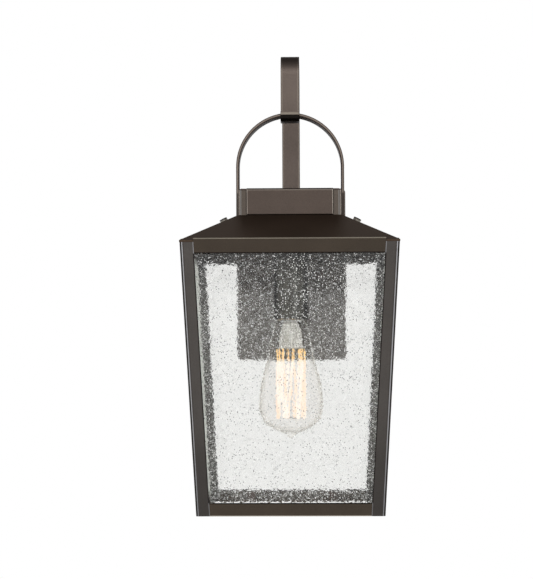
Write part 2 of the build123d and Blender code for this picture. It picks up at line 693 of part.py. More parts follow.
def mounting_bar():
    """A flat bar on the junction box: two slots, two tapped stud holes and one for the ground screw."""
    blank = RectangleRounded(BAR_LONG, BAR_WIDE, BAR_CORNER)
    for sign in (-1, 1):
        blank -= Pos(sign * SLOT_SPACING / 2, 0) * SlotOverall(SLOT_LONG, 2 * SLOT_HALF_WIDE)
    for x in stud_places():
        blank -= Pos(x, 0) * Circle(STUD_R + THREAD_CLEAR)
    blank -= Pos(GROUND_SCREW_X, 0) * Circle(GROUND_SCREW_R + THREAD_CLEAR)
    return front_axis(0, 0, 0) * extrude(blank, amount=BAR_THICK)


def plate_studs():
    stand = -PLATE_FRONT + CAP_NUT_TALL - STUD_SHORT
    return group(front_axis(x, 0, 0) * rod(STUD_R, 0, stand) for x in stud_places())


def stud_nuts():
    nut = hex_nut(LOCK_NUT_FLATS, LOCK_NUT_TALL, STUD_R + THREAD_CLEAR)
    return group(front_axis(x, -BAR_THICK, 0) * nut for x in stud_places())


def cap_nuts():
    """Domed nuts on the plate's front."""
    body = hexagon(CAP_NUT_FLATS, CAP_NUT_TALL)
    dome = Pos(0, 0, CAP_NUT_TALL) * Sphere(CAP_NUT_DOME_R, arc_size1=0)
    nut = body + dome - rod(STUD_R + THREAD_CLEAR, -1, CAP_NUT_TALL)
    return group(front_axis(x, PLATE_FRONT, 0) * nut for x in stud_places())


def ground_screw():
    """A slotted screw whose head stands off the bar by the ground lead's thickness."""
    under = 2 * (GROUND_LEAD_R + LEAD_CLEAR)
    top = under + GROUND_SCREW_HEAD
    head = rod(GROUND_SCREW_HEAD_R, under, top)
    head = fillet(head.edges().group_by(Axis.Z)[-1], GROUND_SCREW_ROUND)
    head -= Pos(0, 0, top) * Box(GROUND_SLOT_WIDE, 3 * GROUND_SCREW_HEAD_R, 2 * GROUND_SLOT_DEEP)
    return front_axis(GROUND_SCREW_X, -BAR_THICK, 0) * (head + rod(GROUND_SCREW_R, -BAR_THICK, under))


def arm_sleeve():
    """A square tube that spaces the crown from the hook strap and covers the pipe."""
    outer = RectangleRounded(2 * SLEEVE_HALF, 2 * SLEEVE_HALF, SLEEVE_ROUND)
    inner = Rectangle(2 * (SLEEVE_HALF - SLEEVE_WALL), 2 * (SLEEVE_HALF - SLEEVE_WALL))
    start = PLATE_FRONT - HOOK_THICK
    return pipe_axis(start) * extrude(outer - inner, amount=start - CROWN_BACK_Y)


def pipe_ends():
    """The pipe's two ends in Y: inside the wall plate, and inside the crown."""
    inside_plate = PLATE_FRONT + PLATE_THICK + PIPE_NUT_TALL + PIPE_STAND_OUT
    inside_crown = CROWN_BACK_Y - CROWN_PANEL_THICK - PIPE_NUT_TALL - PIPE_STAND_OUT
    return inside_plate, inside_crown


def arm_pipe():
    rear, front = pipe_ends()
    return pipe_axis(rear) * tube(PIPE_R, PIPE_BORE_R, 0, rear - front)


def pipe_nuts():
    nut = hex_nut(PIPE_NUT_FLATS, PIPE_NUT_TALL, PIPE_R + THREAD_CLEAR)
    rear, front = pipe_ends()
    places = (rear - PIPE_STAND_OUT, front + PIPE_STAND_OUT + PIPE_NUT_TALL)
    return group(pipe_axis(y) * nut for y in places)


def hook_screws():
    """Pan heads in front of the strap."""
    head = rod(HOOK_SCREW_HEAD_R, 0, HOOK_SCREW_HEAD)
    head = fillet(head.edges().group_by(Axis.Z)[-1], HOOK_SCREW_ROUND)
    cross = Box(CROSS_WIDE, CROSS_LONG, 2 * CROSS_DEEP) + Box(CROSS_LONG, CROSS_WIDE, 2 * CROSS_DEEP)
    head -= Pos(0, 0, HOOK_SCREW_HEAD) * cross
    long = HOOK_THICK + PLATE_THICK + LOCK_NUT_TALL + SCREW_PAST_NUT
    screw = head + rod(HOOK_SCREW_R, -long, 0)
    return group(front_axis(0, PLATE_FRONT - HOOK_THICK, z) * screw for z in HOOK_SCREW_Z)


def hook_nuts():
    nut = hex_nut(LOCK_NUT_FLATS, LOCK_NUT_TALL, HOOK_SCREW_R + THREAD_CLEAR)
    inside = PLATE_FRONT + PLATE_THICK + LOCK_NUT_TALL
    return group(front_axis(0, inside, z) * nut for z in HOOK_SCREW_Z)


# ---------------------------------------------------------------- socket
def socket_sleeve():
    top = DECK_Z - ROOF_THICK
    wall_in = SOCKET_SLEEVE_R - SOCKET_SLEEVE_WALL
    return centre() * tube(SOCKET_SLEEVE_R, wall_in, SOCKET_MOUTH_Z - SOCKET_SLEEVE_PAST, top)


def socket_body():
    """The insulating body: a blind recess for the screw shell and a hole for the nipple."""
    body = rod(SOCKET_R, SOCKET_MOUTH_Z, SOCKET_TOP_Z)
    body = fillet(body.edges().group_by(Axis.Z)[-1], SOCKET_ROUND)
    body -= rod(SHELL_R, SOCKET_MOUTH_Z - 1, SOCKET_ROOF_Z)
    body -= rod(NIPPLE_R + THREAD_CLEAR, SOCKET_TOP_Z - NIPPLE_THREADED_IN, SOCKET_TOP_Z + 1)
    body -= rod(NIPPLE_BORE_R, SOCKET_ROOF_Z - 1, SOCKET_TOP_Z)
    return centre() * body


def socket_shell():
    """A thin cup that takes the bulb's cap, open in the middle of its roof for the contact."""
    shell = tube(SHELL_R, SHELL_R - SHELL_THICK, SOCKET_MOUTH_Z + SHELL_IN, SOCKET_ROOF_Z)
    shell += tube(SHELL_R, SHELL_HOLE_R, SOCKET_ROOF_Z - SHELL_THICK, SOCKET_ROOF_Z)
    return centre() * shell


def socket_contact():
    """A ring on the socket's roof with a bent tongue over the bulb's tip."""
    low = BULB_TOP_Z + CONTACT_SEAT
    upright = (Align.MAX, Align.CENTER, Align.MIN)
    tongue = Box(CONTACT_LONG, CONTACT_WIDE, CONTACT_THICK, align=upright)
    riser = Box(CONTACT_THICK, CONTACT_WIDE, SOCKET_ROOF_Z - low, align=upright)
    ring = tube(CONTACT_FOOT_R, NIPPLE_BORE_R, SOCKET_ROOF_Z - CONTACT_THICK, SOCKET_ROOF_Z)
    return centre() * (Pos(CONTACT_LONG / 2, 0, low) * (tongue + riser) + ring)


def socket_nipple():
    return centre() * tube(NIPPLE_R, NIPPLE_BORE_R, SOCKET_TOP_Z - NIPPLE_THREADED_IN, NIPPLE_TOP_Z)


def nipple_nuts():
    nut = hex_nut(NIPPLE_NUT_FLATS, NIPPLE_NUT_TALL, NIPPLE_R + THREAD_CLEAR)
    under = DECK_Z - ROOF_THICK - NIPPLE_NUT_TALL
    return group(centre() * Pos(0, 0, z) * nut for z in (DECK_Z, under, SOCKET_TOP_Z))


# ---------------------------------------------------------------- bulb
def bulb_solid(inset):
    """The glass's outer shape turned about its axis, its outline moved inwards by a wall."""
    neck = Vector(BULB_NECK_R - inset, BULB_NECK_Z)
    shoulder = Vector(BULB_SHOULDER_R - inset, BULB_NECK_Z - BULB_SHOULDER_DROP)
    waist = Vector(BULB_WAIST_R - inset, BULB_WIDEST_Z + BULB_WAIST_RISE)
    widest = Vector(BULB_R - inset, BULB_WIDEST_Z)
    tip = Vector(0, BULB_TIP_Z + inset)
    side = Spline(neck, shoulder, waist, widest, tangents=[(1, -1), (0, -1)])
    turn = math.radians(BULB_END_TURN)
    cheek = Vector(widest.X * math.cos(turn), widest.Y + (tip.Y - widest.Y) * math.sin(turn))
    end = Spline(widest, cheek, tip, tangents=[(0, -1), (-1, 0)])
    axis_top = Vector(0, BULB_NECK_Z)
    outline = make_face([side, end, Line(tip, axis_top), Line(axis_top, neck)])
    return revolve(Plane.XZ * outline, axis=Axis.Z)


def bulb_glass():
    outside, inside = (bulb_solid(inset) for inset in (0, BULB_WALL))
    return centre() * (outside - inside)


def bulb_cap():
    """A ridged metal cap with an insulated tip."""
    root = CAP_R - CAP_RIDGE
    cap = rod(root, BULB_NECK_Z + CAP_SEAL, BULB_CAP_Z)
    for index in range(int((CAP_LONG - CAP_PLAIN) / CAP_PITCH)):
        height = BULB_NECK_Z + CAP_FIRST + index * CAP_PITCH
        cap += Pos(0, 0, height) * Torus(root - CAP_RIDGE_IN, CAP_RIDGE + CAP_RIDGE_IN)
    cap -= rod(root - CAP_WALL, BULB_NECK_Z + CAP_SEAL - 1, BULB_CAP_Z - CAP_WALL)
    upright = (Align.CENTER, Align.CENTER, Align.MIN)
    cone = Pos(0, 0, BULB_CAP_Z) * Cone(root - CAP_TURN_IN, CAP_CONE_R, CAP_CONE, align=upright)
    contact = rod(CAP_CONTACT_R, BULB_CAP_Z + CAP_CONE, BULB_TOP_Z)
    contact = fillet(contact.edges().group_by(Axis.Z)[-1], CAP_CONTACT_ROUND)
    return centre() * (cap + cone + contact)


def stem_bell(inset):
    """The bell's outer shape turned about the axis, its outline moved inwards by a wall."""
    top = Vector(BELL_TOP_R - inset, BELL_TOP_Z)
    shoulder = Vector(BELL_SHOULDER_R - inset, BELL_TOP_Z - BELL_SHOULDER_DROP)
    rim = Vector(BELL_R - inset, CAGE_TOP_Z + BELL_SHORT)
    side = Spline(top, shoulder, rim, tangents=[(1, -1), (0, -1)])
    axis_low, axis_top = Vector(0, rim.Y), Vector(0, top.Y)
    outline = make_face([side, Line(rim, axis_low), Line(axis_low, axis_top), Line(axis_top, top)])
    return revolve(Plane.XZ * outline, axis=Axis.Z)


def bulb_stem():
    """The glass mount: a foot that closes the neck, a bell under it and a rod down its middle."""
    foot = rod(BULB_NECK_R - BULB_WALL - STEM_SEAL, BELL_TOP_Z, BULB_NECK_Z - STEM_IN)
    bell = stem_bell(0) - stem_bell(BELL_WALL)
    return centre() * (foot + bell + rod(STEM_ROD_R, CAGE_END_Z - STEM_PAST, BELL_TOP_Z))


def wire(points, radius):
    """A thin straight-sided wire, one rod for each stretch, joined by balls at its corners."""
    shape = None
    for start, end in zip(points, points[1:]):
        run = Vector(*end) - Vector(*start)
        stretch = Plane(origin=start, z_dir=run) * Cylinder(
            radius, run.length, align=(Align.CENTER, Align.CENTER, Align.MIN)
        )
        shape = stretch if shape is None else shape + stretch
    for corner in points[1:-1]:
        shape += Pos(*corner) * Sphere(radius)
    return shape


def cage_point(index, upper):
    """Corners of the zigzag, alternately at the cage's top and bottom rings."""
    turn = 2 * math.pi * index / CAGE_STRANDS
    radius, height = (CAGE_TOP_R, CAGE_TOP_Z) if upper else (CAGE_END_R, CAGE_END_Z)
    return radius * math.cos(turn), radius * math.sin(turn), height


def bulb_supports():
    """Wire spokes from the glass rod to the zigzag's corners."""
    spokes = []
    for index in range(CAGE_STRANDS):
        upper = index % 2 == 0
        x, y, z = cage_point(index, upper)
        run = Vector(x, y, 0).normalized()
        start = (run.X * STEM_ROD_R, run.Y * STEM_ROD_R, z)
        reach = math.hypot(x, y) - SUPPORT_SHORT
        spokes.append(centre() * wire([start, (run.X * reach, run.Y * reach, z)], WIRE_R))
    return group(spokes)


def bulb_filament():
    """The glowing zigzag between the support wires."""
    corners = [cage_point(index, index % 2 == 0) for index in range(CAGE_STRANDS)]
    return centre() * wire(corners, FILAMENT_R)


# ---------------------------------------------------------------- leads
def lead(x_sign):
    """A supply lead: from the socket up through the nipple, along the pipe and down to its connector."""
    x = x_sign * LEAD_SPREAD
    aside = x_sign * CONNECTOR_APART
    drop_y = lead_drop_y()
    points = [
        (x, -REACH, SOCKET_ROOF_Z + LEAD_START),
        (x, -REACH, PIPE_Z),
        (x, drop_y, PIPE_Z),
        (x, drop_y, CONNECTOR_TOP_Z + LEAD_SPLIT),
        (aside, drop_y, CONNECTOR_TOP_Z + LEAD_STRAIGHT),
        (aside, drop_y, CONNECTOR_TOP_Z - LEAD_IN),
    ]
    path = FilletPolyline(*points, radius=[LEAD_BEND, LEAD_DROP_BEND, LEAD_BEND, LEAD_BEND])
    start = Plane(origin=points[0], z_dir=(0, 0, 1))
    return sweep(start * Circle(LEAD_R), path=path)


def lead_drop_y():
    return (pipe_ends()[0] - BAR_THICK - LOCK_NUT_TALL) / 2


def wire_connectors():
    """Two twist-on connectors, open at the top for their leads."""
    caps = []
    for sign in (-1, 1):
        upright = (Align.CENTER, Align.CENTER, Align.MIN)
        cone = Cone(CONNECTOR_END_R, CONNECTOR_R, CONNECTOR_LONG, align=upright)
        cone = fillet(cone.edges().group_by(Axis.Z)[0], CONNECTOR_ROUND)
        cone -= rod(LEAD_R + LEAD_CLEAR, CONNECTOR_LONG - CONNECTOR_HOLE, CONNECTOR_LONG + 1)
        place = Pos(sign * CONNECTOR_APART, lead_drop_y(), CONNECTOR_TOP_Z - CONNECTOR_LONG)
        caps.append(place * cone)
    return group(caps)


def lead_ground():
    """A ground lead along the inside of the wall plate and round to the ground screw."""
    plate_y = PLATE_FRONT + PLATE_THICK + GROUND_LEAD_R + LEAD_CLEAR
    screw_y = -BAR_THICK - GROUND_LEAD_R - LEAD_CLEAR
    beside = GROUND_SCREW_X + GROUND_SCREW_R + GROUND_LEAD_R + LEAD_CLEAR
    out = beside + GROUND_LEAD_OUT
    leave, arrive = GROUND_LEAD_TURNS
    points = [
        (out, plate_y, PIPE_Z - PIPE_NUT_FLATS),
        (out, plate_y, leave),
        (out, screw_y, arrive),
        (beside, screw_y, 0),
    ]
    path = FilletPolyline(*points, radius=[GROUND_LEAD_BEND, GROUND_LEAD_BEND])
    start = Plane(origin=points[0], z_dir=(0, 0, -1))
    return sweep(start * Circle(GROUND_LEAD_R), path=path)


# ---------------------------------------------------------------- the whole lantern
def build():
    nodes = {
        "wall_gasket": wall_gasket(),
        "wall_plate": wall_plate(),
        "mounting_bar": mounting_bar(),
        "plate_studs": plate_studs(),
        "stud_nuts": stud_nuts(),
        "cap_nuts": cap_nuts(),
        "ground_screw": ground_screw(),
        "hook_arm": hook_arm(),
        "hook_screws": hook_screws(),
        "hook_nuts": hook_nuts(),
        "arm_sleeve": arm_sleeve(),
        "arm_pipe": arm_pipe(),
        "pipe_nuts": pipe_nuts(),
        "hoop_handle": hoop_handle(),
        "hoop_washers": hoop_washers(),
        "hoop_screws": hoop_screws(),
        "crown_posts": crown_posts(),
        "crown_lid": crown_lid(),
        "roof": roof(),
        "roof_tabs": group([roof_tab(-1), roof_tab(1)]),
        "knob_left": knob(-1),
        "knob_right": knob(1),
        "glass_clips": glass_clips(),
        "clip_screws": clip_screws(),
        "socket_sleeve": socket_sleeve(),
        "socket_body": socket_body(),
        "socket_shell": socket_shell(),
        "socket_contact": socket_contact(),
        "socket_nipple": socket_nipple(),
        "nipple_nuts": nipple_nuts(),
        "bulb_glass": bulb_glass(),
        "bulb_cap": bulb_cap(),
        "bulb_stem": bulb_stem(),
        "bulb_supports": bulb_supports(),
        "bulb_filament": bulb_filament(),
        "lead_black": lead(-1),
        "lead_white": lead(1),
        "lead_ground": lead_ground(),
        "wire_connectors": wire_connectors(),
    }
    for side, angle in SIDES.items():
        nodes[f"crown_panel_{side}"] = crown_panel(angle)
        nodes[f"top_rail_{side}"] = drill_clip_holes(top_rail(angle), angle, True)
        nodes[f"bottom_rail_{side}"] = drill_clip_holes(bottom_rail(angle), angle, False)
        nodes[f"pane_{side}"] = pane(angle)
    for y_sign, depth in ((-1, "front"), (1, "back")):
        for x_sign, hand in ((-1, "left"), (1, "right")):
            nodes[f"post_{depth}_{hand}"] = post(x_sign, y_sign)
    return nodes


os.makedirs("parts", exist_ok=True)
for name, shape in build().items():
    export_step(shape, f"parts/{name}.step")
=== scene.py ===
import json
import math

import bmesh
import bpy
from mathutils import Matrix, Vector


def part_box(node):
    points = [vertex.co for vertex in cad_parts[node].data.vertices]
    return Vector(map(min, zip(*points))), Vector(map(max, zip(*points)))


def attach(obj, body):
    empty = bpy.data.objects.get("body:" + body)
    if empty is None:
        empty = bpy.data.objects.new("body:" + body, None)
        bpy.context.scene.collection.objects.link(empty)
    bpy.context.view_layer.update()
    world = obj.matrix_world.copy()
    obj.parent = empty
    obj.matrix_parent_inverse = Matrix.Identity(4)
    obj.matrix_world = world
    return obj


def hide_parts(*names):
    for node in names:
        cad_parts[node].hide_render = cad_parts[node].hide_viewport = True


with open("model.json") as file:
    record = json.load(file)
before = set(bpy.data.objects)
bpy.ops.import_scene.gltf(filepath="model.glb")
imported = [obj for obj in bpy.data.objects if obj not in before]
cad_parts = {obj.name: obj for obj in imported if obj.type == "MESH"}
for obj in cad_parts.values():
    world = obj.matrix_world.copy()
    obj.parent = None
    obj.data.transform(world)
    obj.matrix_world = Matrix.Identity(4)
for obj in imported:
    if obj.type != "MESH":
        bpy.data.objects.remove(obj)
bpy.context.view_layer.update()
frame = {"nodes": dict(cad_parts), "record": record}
nodes = frame["nodes"]

# Outdoor wall lantern in metres: +Z up, the wall is the plane Y = 0, the front looks towards -Y.
MM = 0.001
AXIS_Y = -146 * MM  # the lantern's upright centre line

# The glazed body, whose sides lean in from the eaves towards its foot.
EAVE_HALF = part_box("roof")[1][0]
EAVE_Z = 24 * MM
SIDE_LEAN = 14.5 / 259.8  # how far in for how far down
FOOT_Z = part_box("post_front_left")[0][2]
GLASS_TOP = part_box("top_rail_front")[0][2]  # where the panes show between the rails
GLASS_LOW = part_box("bottom_rail_front")[1][2]
POST_FACE = 13 * MM  # how wide a post is on each side of its corner

# The roof and the two thumb screws that stand square on its left and right slopes.
ROOF_EDGE_Z = 22 * MM
ROOF_TILT = math.atan(27.2 / 53.0)
KNOB_OUT = 63 * MM  # from the centre line to where a screw meets the slope
# From the centre line at height zero to the slope, measured square to the slope.
KNOB_FOOT = KNOB_OUT * math.sin(ROOF_TILT) + math.cos(ROOF_TILT) * (
    ROOF_EDGE_Z + (EAVE_HALF - KNOB_OUT) * math.tan(ROOF_TILT)
)

# The crown, the hoop on its sides and the hook's strap.
CROWN_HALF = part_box("crown_posts")[1][0]
CROWN_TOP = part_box("crown_posts")[1][2]
PANEL_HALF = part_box("crown_panel_front")[1][0]
PANEL_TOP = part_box("crown_panel_front")[1][2]
HOOP_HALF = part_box("hoop_handle")[1][0]
HOOP_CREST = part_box("hoop_handle")[1][2]
HOOP_TURN = HOOP_CREST - HOOP_HALF  # the centre of the hoop's arch
HOOK_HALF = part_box("hook_arm")[1][0]
HOOK_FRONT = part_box("hook_arm")[0][1]

# The bulb.
NECK = -50.5 * MM
CAGE_TOP = NECK - 28.5 * MM  # the height of the filament's upper hooks
CAGE_END = CAGE_TOP - 67.5 * MM  # and of its lower ones
TOP_REACH = 13.5 * MM  # how far out from the centre line the upper hooks stand
END_REACH = 14.0 * MM
# Sixteen hooks round the cage, upper and lower by turns: how far round each one is, in degrees.
HOOK_TURNS = (8, 34, 52, 78, 100, 118, 146, 163, 188, 210, 236, 255, 280, 301, 322, 346)

PAINTED_SHADE_COLOUR = (24, 21, 19)  # the near black of the painted shade on the bronze's seams and edges, and on the thumb screws' rims


# ---------------------------------------------------------------- view and light
def aim(thing, target):
    thing.rotation_mode = "QUATERNION"
    thing.rotation_quaternion = (Vector(target) - thing.location).to_track_quat("-Z", "Y")


def make_camera():
    """A long lens in front of the lantern's lower half, tilted up a little."""
    lens = bpy.data.cameras.new("camera")
    lens.lens = 113.6
    camera = bpy.data.objects.new("camera", lens)
    camera.location = (0.015, AXIS_Y - 1.8, -0.090)
    pitch = math.radians(2.21)
    yaw = math.radians(1.235)
    roll = math.radians(-0.2)
    turn = Matrix.Rotation(yaw, 3, "Z") @ Matrix.Rotation(math.pi / 2 + pitch, 3, "X")
    camera.rotation_mode = "QUATERNION"
    camera.rotation_quaternion = (turn @ Matrix.Rotation(roll, 3, "Z")).to_quaternion()
    bpy.context.scene.collection.objects.link(camera)
    bpy.context.scene.camera = camera


def softbox(name, place, size, power):
    """A square soft lamp that looks at the middle of the lantern."""
    lamp = bpy.data.lights.new(name, "AREA")
    lamp.shape = "SQUARE"
    lamp.size = size
    lamp.energy = power
    box = bpy.data.objects.new(name, lamp)
    box.location = place
    aim(box, (0, AXIS_Y, 0))
    bpy.context.scene.collection.objects.link(box)


def make_lights():
    softbox("key", (-1.4, -2.0, 0.95), size=1.3, power=22)
    softbox("fill", (1.5, -1.9, 0.85), size=1.3, power=18)


# ---------------------------------------------------------------- shader maths
class Value:
    """A shader socket that takes part in sums: each operator adds its Math node."""

    def __init__(self, finish, socket):
        self.finish = finish
        self.socket = socket

    def __add__(self, other):
        return self.finish.math("ADD", self, other)

    def __sub__(self, other):
        return self.finish.math("SUBTRACT", self, other)

    def __rsub__(self, other):
        return self.finish.math("SUBTRACT", other, self)

    def __mul__(self, other):
        return self.finish.math("MULTIPLY", self, other)

    def __truediv__(self, other):
        return self.finish.math("DIVIDE", self, other)

    def __pow__(self, other):
        return self.finish.math("POWER", self, other)

    def __lt__(self, other):
        return self.finish.math("LESS_THAN", self, other)

    def __gt__(self, other):
        return self.finish.math("GREATER_THAN", self, other)

    def __abs__(self):
        return self.finish.node("Math", {"operation": "ABSOLUTE"}, {0: self})

    __radd__ = __add__
    __rmul__ = __mul__


class Finish:
    """One node tree while it is being made."""

    def __init__(self, owner, output="OutputMaterial"):
        owner.use_nodes = True
        self.owner = owner
        self.tree = owner.node_tree
        self.tree.nodes.clear()
        self.end = self.tree.nodes.new("ShaderNode" + output)

    def node(self, kind, settings, sockets, out=0):
        """Adds a node: its settings first, then each socket's value or link. Gives one output."""
        made = self.tree.nodes.new("ShaderNode" + kind)
        for name, value in settings.items():
            setattr(made, name, value)
        for name, value in sockets.items():
            if isinstance(value, Value):
                self.tree.links.new(value.socket, made.inputs[name])
            else:
                made.inputs[name].default_value = value
        return Value(self, made.outputs[out])

    def math(self, operation, a, b):
        return self.node("Math", {"operation": operation}, {0: a, 1: b})

    def larger(self, a, b):
        return self.math("MAXIMUM", a, b)

    def smooth(self, value, low, high):
        """0 below low, 1 above high, with a soft step between."""
        settings = {"interpolation_type": "SMOOTHSTEP"}
        return self.node("MapRange", settings, {"Value": value, "From Min": low, "From Max": high})

    def band(self, value, low, high, soft=0.25 * MM):
        """1 between low and high, 0 outside, with soft sides."""
        above_low = self.smooth(value, low - soft, low + soft)
        return above_low * (1 - self.smooth(value, high - soft, high + soft))

    def place(self):
        return self.node("TexCoord", {}, {}, "Object")

    def drawn(self, height):
        """The place with its height scaled, for patterns that run up and down."""
        return self.node("Mapping", {}, {"Vector": self.place(), "Scale": (1.0, 1.0, height)})

    def axis(self, vector, letter):
        return self.node("SeparateXYZ", {}, {"Vector": vector}, letter)

    def height(self):
        return self.axis(self.place(), "Z")

    def aside(self):
        """The distance to the left or right of the centre line."""
        return abs(self.axis(self.place(), "X"))

    def along(self):
        """The distance in front of or behind the centre line."""
        return abs(self.axis(self.place(), "Y") - AXIS_Y)

    def facing(self, letter):
        """How far the surface turns towards an axis, from -1 to 1."""
        return self.axis(self.node("TexCoord", {}, {}, "Normal"), letter)

    def noise(self, scale, detail=2.0, rough=0.5, where=None):
        sockets = {"Vector": where or self.place(), "Scale": scale, "Detail": detail, "Roughness": rough}
        return self.node("TexNoise", {}, sockets)

    def cells(self, scale, out="Distance", where=None):
        sockets = {"Vector": where or self.place(), "Scale": scale}
        return self.node("TexVoronoi", {}, sockets, out)

    def lot(self, scale, channel, where=None):
        """A number from 0 to 1 that each cell draws."""
        return self.node("SeparateColor", {}, {"Color": self.cells(scale, "Color", where)}, channel)

    def mix(self, share, first, second):
        return self.node("Mix", {"data_type": "RGBA"}, {0: share, 6: first, 7: second}, 2)

    def bump(self, height, distance, strength=1.0):
        return self.node("Bump", {}, {"Height": height, "Distance": distance, "Strength": strength})

    def slant(self, sockets):
        """0 where the glass is seen square on, 1 where it is seen along its surface."""
        return self.node("LayerWeight", {}, sockets, "Facing")

    def ray(self, kind):
        return self.node("LightPath", {}, {}, kind)

    def principled(self, sockets):
        return self.node("BsdfPrincipled", {}, sockets)

    def clear(self, tint):
        return self.node("BsdfTransparent", {}, {"Color": tint})

    def blend(self, share, first, second):
        return self.node("MixShader", {}, {0: share, 1: first, 2: second})

    def done(self, surface):
        self.tree.links.new(surface.socket, self.end.inputs["Surface"])
        return self.owner


def new_finish(name):
    return Finish(bpy.data.materials.new(name))


def rgb(red, green, blue):
    """A colour written as on screen, from 0 to 255, made linear."""
    def linear(c):
        c /= 255
        return c / 12.92 if c <= 0.04045 else ((c + 0.055) / 1.055) ** 2.4

    return linear(red), linear(green), linear(blue), 1.0


# ---------------------------------------------------------------- where highlights and shade are painted on the bronze
def rail_painted_highlight(f):
    """A painted highlight on the upper edge of the top rails and the lower edge of the bottom rails."""
    z = f.height()
    top = f.smooth(z, EAVE_Z - 1.1 * MM, EAVE_Z - 0.7 * MM)
    return top + (1 - f.smooth(z, FOOT_Z + 0.5 * MM, FOOT_Z + 1.1 * MM))


def rail_painted_shade(f):
    """Painted shade on the edges of the rails beside the glass."""
    return f.band(f.height(), GLASS_LOW - 1.1 * MM, GLASS_TOP + 1.1 * MM) * 0.8


def from_post_corner(f):
    """How far a place on a post is from the post's outer corner."""
    half = EAVE_HALF - (EAVE_Z - f.height()) * SIDE_LEAN
    return f.larger(half - f.aside(), half - f.along())


def post_painted_highlight(f):
    """A painted highlight down each post just inside its outer corner, and along the seams beside the
    rails.
    """
    reach = from_post_corner(f)
    beside_rail = 1 - f.band(f.height(), GLASS_LOW, GLASS_TOP)
    seam = f.smooth(reach, POST_FACE - 0.8 * MM, POST_FACE - 0.4 * MM) * beside_rail
    return f.larger(f.band(reach, 1.8 * MM, 2.6 * MM), seam * 0.7)


def post_painted_shade(f):
    """Painted shade: the outer corner itself, a line inside the highlight, the edge beside the glass, and
    darker towards the foot.
    """
    reach = from_post_corner(f)
    beside_glass = f.band(f.height(), GLASS_LOW, GLASS_TOP)
    inner = f.smooth(reach, POST_FACE - 1.2 * MM, POST_FACE - 0.6 * MM) * beside_glass
    outer = 1 - f.smooth(reach, 1.3 * MM, 1.7 * MM) + f.band(reach, 3.0 * MM, 3.8 * MM) * 0.4
    foot = (1 - f.smooth(f.height(), FOOT_Z, FOOT_Z + 116 * MM)) * 0.42
    return f.larger(f.larger(outer, inner) * 0.85, foot)


def panel_painted_highlight(f):
    """A painted highlight on a crown panel's upright edges and a line under its upper edge."""
    across = f.math("MINIMUM", f.aside(), f.along())
    upright = f.smooth(across, PANEL_HALF - 1.0 * MM, PANEL_HALF - 0.6 * MM)
    return f.larger(upright, f.band(f.height(), PANEL_TOP - 2.1 * MM, PANEL_TOP - 1.3 * MM) * 0.7)


def panel_painted_shade(f):
    """Painted shade along a crown panel's upper edge."""
    return f.smooth(f.height(), PANEL_TOP - 1.2 * MM, PANEL_TOP - 0.9 * MM) * 0.8


def from_crown_corner(f):
    """How far a place on the crown is from its nearest upright corner."""
    return f.larger(CROWN_HALF - f.aside(), CROWN_HALF - f.along())


def corner_painted_highlight(f):
    """A painted highlight down each angle of the crown, beside its corner."""
    return f.band(from_crown_corner(f), 0.7 * MM, 1.5 * MM)


def corner_painted_shade(f):
    """Painted shade on the crown's corners, the seams beside its panels, and its upper edge."""
    reach = from_crown_corner(f)
    seam = f.smooth(reach, 5.6 * MM, 6.1 * MM) * 0.6
    corner = (1 - f.smooth(reach, 0.2 * MM, 0.6 * MM)) * 0.8
    top = f.smooth(f.height(), CROWN_TOP - 0.7 * MM, CROWN_TOP - 0.3 * MM) * 0.7
    return f.larger(seam + corner, top)


def hook_tip(f):
    """1 on the strap's end, in front of the hoop."""
    return 1 - f.smooth(f.axis(f.place(), "Y"), HOOK_FRONT + 3.0 * MM, HOOK_FRONT + 4.0 * MM)


def strap_painted_highlight(f):
    """A painted highlight beside each long edge of the hook's strap, and one across its tip."""
    tip = hook_tip(f)
    beside = f.band(f.aside(), HOOK_HALF - 1.65 * MM, HOOK_HALF - 0.95 * MM) * (1 - tip)
    across = f.band(f.height(), HOOP_CREST - 2.1 * MM, HOOP_CREST) * tip
    return f.larger(beside, across) * 0.6


def strap_painted_shade(f):
    """Painted shade on the strap's outermost edges, its faces that look up or down, and the low part of
    its tip.
    """
    up = f.facing("Z")
    looks_up = f.smooth(up, 0.2, 0.75) * 0.72
    looks_down = (1 - f.smooth(up, -0.45, -0.15)) * 0.7
    edge = f.smooth(f.aside(), HOOK_HALF - 0.65 * MM, HOOK_HALF - 0.35 * MM) * 0.5
    tip = hook_tip(f) * (f.height() < HOOP_CREST - 2.3 * MM) * 0.97
    return f.larger(f.larger(edge, f.larger(looks_up, looks_down)), tip)


def across_hoop(f):
    """How far a place on the hoop's strap is from the hoop's outer face."""
    above = f.larger(f.height() - HOOP_TURN, 0.0)
    return HOOP_HALF - (f.aside() ** 2 + above ** 2) ** 0.5


def hoop_painted_highlight(f):
    """A painted highlight along the middle of the strap's front and back edges."""
    return f.band(across_hoop(f), 0.9 * MM, 1.7 * MM) * f.smooth(abs(f.facing("Y")), 0.7, 0.95)


def hoop_painted_shade(f):
    """Painted shade on the outline of those front and back edges, the inside of the hoop, and its feet
    beside the crown.
    """
    deep = across_hoop(f)
    outline = 1 - f.band(deep, 0.5 * MM, 2.1 * MM)
    inside = f.smooth(deep, 2.2 * MM, 2.6 * MM)
    edge = f.larger(outline * 0.5, inside * 0.85) * f.smooth(abs(f.facing("Y")), 0.5, 0.9)
    feet = (1 - f.smooth(f.height(), CROWN_TOP - 0.7 * MM, CROWN_TOP + 1.3 * MM)) * 0.55
    return f.larger(f.larger(edge, inside * 0.5), feet)


def sleeve_painted_highlight(f):
    """A painted highlight: a pale streak down the round sleeve, right of its middle."""
    return f.band(f.facing("X"), 0.18, 0.42, soft=0.08)


def sleeve_painted_shade(f):
    """Painted shade on the sleeve's left and right sides."""
    return f.smooth(abs(f.facing("X")), 0.62, 0.85) * 0.8


